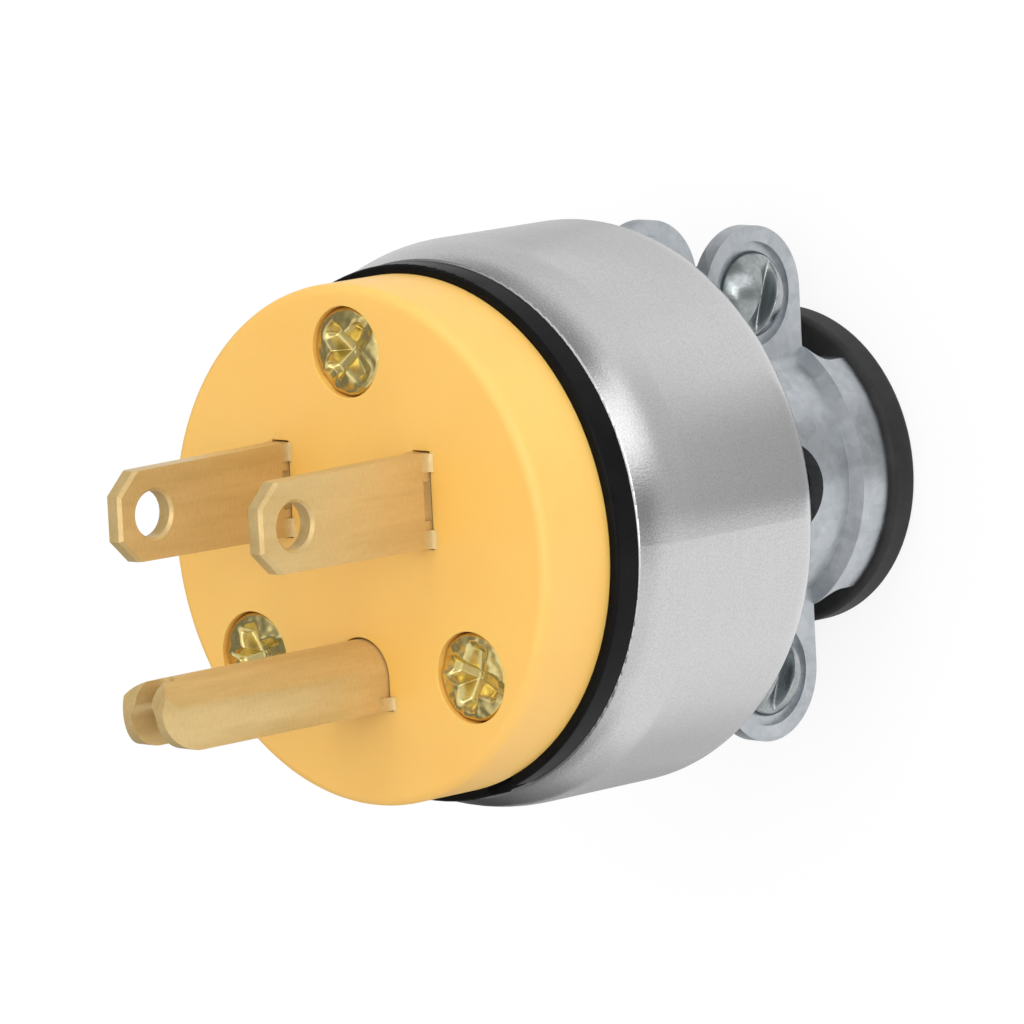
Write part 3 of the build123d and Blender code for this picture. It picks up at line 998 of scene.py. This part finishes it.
@dataclass
class CordClamp:
    """Cord clamp with its slotted screws and rubber bushing."""

    rounding: Rounding = Rounding(width=0.08, flat_angle=1.5)
    screw: Screw = Screw(
        facing=Facing.RIGHT,
        finish=Finishes.CLAMP_SCREW,
        head_height=2.0,
        head_edge=0.3,
        rim_radius=0.15,
        shank_radius=1.7,
        grooves=(Groove(length=6.4, width=1.3, depth=1.3, turn=-19.0, softness=0.16),),
    )

    def build(self) -> None:
        """Makes the halves and the screws, and dresses the bushing."""
        for side in ("right", "left"):
            self.rounding.build(f"{side}_saddle", f"{side}_clamp_half", Finishes.CLAMP)
        for side in ("upper", "lower"):
            node = f"{side}_clamp_screw"
            self.screw.build(f"{node}_slotted", node)
        dress(cad_solid("cord_bushing"), Finishes.BUSHING)


@dataclass
class Terminals:
    """Terminal screws and their pressure plates inside the shell."""

    screws: tuple[tuple[str, Finishes], ...] = (
        ("line", Finishes.LINE_SCREW),
        ("neutral", Finishes.NEUTRAL_SCREW),
        ("ground", Finishes.GROUND_SCREW),
    )

    def build(self) -> None:
        """Dresses the terminals."""
        for name, finish in self.screws:
            dress(cad_solid(f"{name}_terminal_screw"), finish)
            dress(cad_solid(f"{name}_wire_plate"), Finishes.PLATE)


@dataclass(frozen=True)
class Softbox:
    """Rectangular soft lamp that points at the plug, in metres and watts."""

    name: str
    place: Point
    size: Pair
    power: float
    target: Point = (0.0, 0.0, 0.03)

    def build(self) -> None:
        """Makes the lamp."""
        lamp = bpy.data.lights.new(self.name, "AREA")
        lamp.shape = "RECTANGLE"
        lamp.size, lamp.size_y = self.size
        lamp.energy = self.power
        holder = new_object(self.name, lamp)
        aim = Vector(self.target) - Vector(self.place)
        holder.location = self.place
        holder.rotation_euler = aim.to_track_quat("-Z", "Y").to_euler()
        holder.visible_camera = False


@dataclass(frozen=True)
class CardRing:
    """Ring of grey cards round the plug that only reflections show, shaded by direction.

    Each edge is a radius and a height in metres, each shade a direction in degrees from +X and
    a brightness.
    """

    name: str
    first_edge: Pair
    last_edge: Pair
    shades: tuple[Pair, ...]

    def build(self) -> None:
        """Makes the ring."""
        edges = (self.first_edge, self.last_edge)
        points = [
            (*polar(reach, math.radians(angle)), height)
            for angle, _ in self.shades
            for reach, height in edges
        ]
        faces = [
            (2 * here, 2 * here + 1, 2 * there + 1, 2 * there)
            for here, there in ring_pairs(len(self.shades))
        ]
        mesh = bpy.data.meshes.new(self.name)
        mesh.from_pydata(points, [], faces)
        shade = mesh.attributes.new("shade", "FLOAT", "POINT")
        shade.data.foreach_set("value", [value for _, value in self.shades for _ in edges])
        card = new_object(self.name, mesh)
        for kind in ("camera", "diffuse", "transmission", "shadow"):
            setattr(card, f"visible_{kind}", False)
        paper, maker = new_material(self.name)
        grey = maker.add("ShaderNodeAttribute", {"attribute_name": "shade"}, None, "Fac")
        glow = maker.add("ShaderNodeEmission", None, {"Color": WHITE, "Strength": grey})
        maker.add("ShaderNodeOutputMaterial", None, {"Surface": glow})
        mesh.materials.append(paper)


@dataclass
class Studio:
    """White floor and world, soft lamps, grey cards and the camera, in metres."""

    floor_size: float = 6.0
    floor_drop: float = 0.02 * MM
    floor_grey: float = 0.9
    floor_glow: float = 1.04
    shadow_share: float = 0.20
    ambient: float = 0.83
    softboxes: tuple[Softbox, ...] = (
        Softbox("front_softbox", place=(0.83, 0.26, 0.86), size=(0.9, 0.9), power=5.0),
        Softbox("top_softbox", place=(0.1, 0.9, 0.45), size=(0.5, 0.5), power=2.2),
    )
    cards: tuple[CardRing, ...] = (
        CardRing(
            "near_floor_cards",
            first_edge=(0.0115, CARD_LIFT),
            last_edge=(0.046, CARD_LIFT),
            shades=(
                (-133.0, 0.40), (-100.0, 0.60), (-85.0, 0.65), (-69.0, 0.88), (-50.0, 1.0),
                (-5.0, 1.0), (-1.5, 0.48), (24.0, 0.54), (41.0, 0.93), (60.0, 0.95),
                (120.0, 0.64), (150.0, 0.75),
            ),
        ),
        CardRing(
            "middle_floor_cards",
            first_edge=(0.046, CARD_LIFT),
            last_edge=(0.14, CARD_LIFT),
            shades=(
                (-130.0, 0.06), (-112.0, 0.25), (-98.0, 0.58), (-75.0, 1.0), (-8.0, 1.0),
                (0.0, 0.55), (25.0, 0.65), (57.0, 0.92), (104.0, 0.75), (150.0, 0.80),
            ),
        ),
        CardRing(
            "far_floor_cards",
            first_edge=(0.14, CARD_LIFT),
            last_edge=(0.5, CARD_LIFT),
            shades=(
                (-99.0, 0.20), (-80.0, 0.60), (-65.0, 1.0), (-12.0, 1.0), (0.0, 0.50),
                (12.0, 0.50), (26.0, 1.25), (44.0, 1.3), (62.0, 0.65), (89.0, 0.60),
                (105.0, 0.35), (150.0, 0.25),
            ),
        ),
        CardRing(
            "wall_cards",
            first_edge=(0.5, 0.0),
            last_edge=(0.5, 0.38),
            shades=(
                (-99.0, 0.20), (-72.0, 0.75), (-30.0, 0.90), (-12.0, 0.80), (-2.0, 0.32),
                (12.0, 0.28), (25.0, 1.55), (44.0, 1.55), (60.0, 0.30), (105.0, 0.35),
                (150.0, 0.25),
            ),
        ),
        CardRing(
            "upper_wall_cards",
            first_edge=(0.5, 0.38),
            last_edge=(0.5, 1.2),
            shades=(
                (-165.0, 0.45), (-110.0, 0.90), (-60.0, 1.0), (60.0, 1.0), (100.0, 0.80),
                (140.0, 0.35), (170.0, 0.35),
            ),
        ),
    )
    camera_right: Point = (0.7191, -0.0498, -0.6931)
    camera_up: Point = (-0.0587, 0.9895, -0.1319)
    camera_back: Point = (0.6925, 0.1355, 0.7085)
    camera_target: Point = (0.0, 0.0, 0.042)
    camera_distance: float = 0.6024
    camera_offset: Pair = (0.00997, 0.00219)
    camera_clips: Pair = (0.01, 50.0)
    lens: float = 331.76
    sensor_width: float = 36.0

    @staticmethod
    def seen_directly(maker: NodeMaker) -> Signal:
        """Finds out how a surface is seen.

        Args:
            maker: Builder of the material's or the world's tree.

        Returns:
            One where the ray comes from the camera, a reflection or glass, else 0.
        """
        kinds = ("Is Camera Ray", "Is Glossy Ray", "Is Transmission Ray")
        camera, glossy, clear = (maker.add("ShaderNodeLightPath", output=kind) for kind in kinds)
        return camera.largest(glossy).largest(clear)

    def build_world(self) -> None:
        """Makes the soft surrounding light, white where it is seen directly."""
        world = bpy.data.worlds.new("studio")
        world.use_nodes = True
        bpy.context.scene.world = world
        maker = NodeMaker(world.node_tree)
        seen = self.seen_directly(maker)
        strength = seen * (1.0 - self.ambient) + self.ambient
        light = maker.add("ShaderNodeBackground", None, {"Color": WHITE, "Strength": strength})
        maker.add("ShaderNodeOutputWorld", None, {"Surface": light})

    def build_floor(self) -> None:
        """Makes the pale floor, which keeps a faint shadow."""
        mesh = bpy.data.meshes.new("floor")
        half = self.floor_size / 2
        corners = [(-half, -half, 0.0), (half, -half, 0.0), (half, half, 0.0), (-half, half, 0.0)]
        mesh.from_pydata(corners, [], [(0, 1, 2, 3)])
        floor = new_object("floor", mesh)
        floor.location.z = -self.floor_drop
        paint, maker = new_material("floor_paint")
        seen = self.seen_directly(maker)
        grey = (self.floor_grey, self.floor_grey, self.floor_grey, 1.0)
        matte = maker.add("ShaderNodeBsdfDiffuse", None, {"Color": grey})
        glow = {"Color": WHITE, "Strength": self.floor_glow}
        white = maker.add("ShaderNodeEmission", None, glow)
        share = seen * (1.0 - self.shadow_share)
        both = maker.add("ShaderNodeMixShader", None, {0: share, 1: matte, 2: white})
        maker.add("ShaderNodeOutputMaterial", None, {"Surface": both})
        mesh.materials.append(paint)

    def build_camera(self) -> None:
        """Places the camera at the photograph's angle."""
        data = bpy.data.cameras.new("camera")
        data.sensor_fit = "HORIZONTAL"
        data.sensor_width = self.sensor_width
        data.lens = self.lens
        data.clip_start, data.clip_end = self.camera_clips
        axes = (self.camera_right, self.camera_up, self.camera_back)
        right, up, back = (Vector(axis).normalized() for axis in axes)
        place = Vector(self.camera_target) + back * self.camera_distance
        place += right * self.camera_offset[0] + up * self.camera_offset[1]
        turn = Matrix((right, up, back)).transposed().to_4x4()
        camera = new_object("camera", data)
        camera.matrix_world = Matrix.Translation(place) @ turn
        bpy.context.scene.camera = camera

    def build(self) -> None:
        """Makes the whole studio."""
        bpy.context.scene.view_settings.view_transform = "Standard"
        self.build_world()
        self.build_floor()
        for item in (*self.softboxes, *self.cards):
            item.build()
        self.build_camera()


def main() -> None:
    """Builds the plug's pieces and the studio in order."""
    logging.basicConfig(level=logging.INFO, format="%(name)s %(message)s")
    for assembly in (FaceAssembly(), ShellAssembly(), CordClamp(), Terminals(), Studio()):
        assembly.build()


if __name__ == "__main__":
    main()
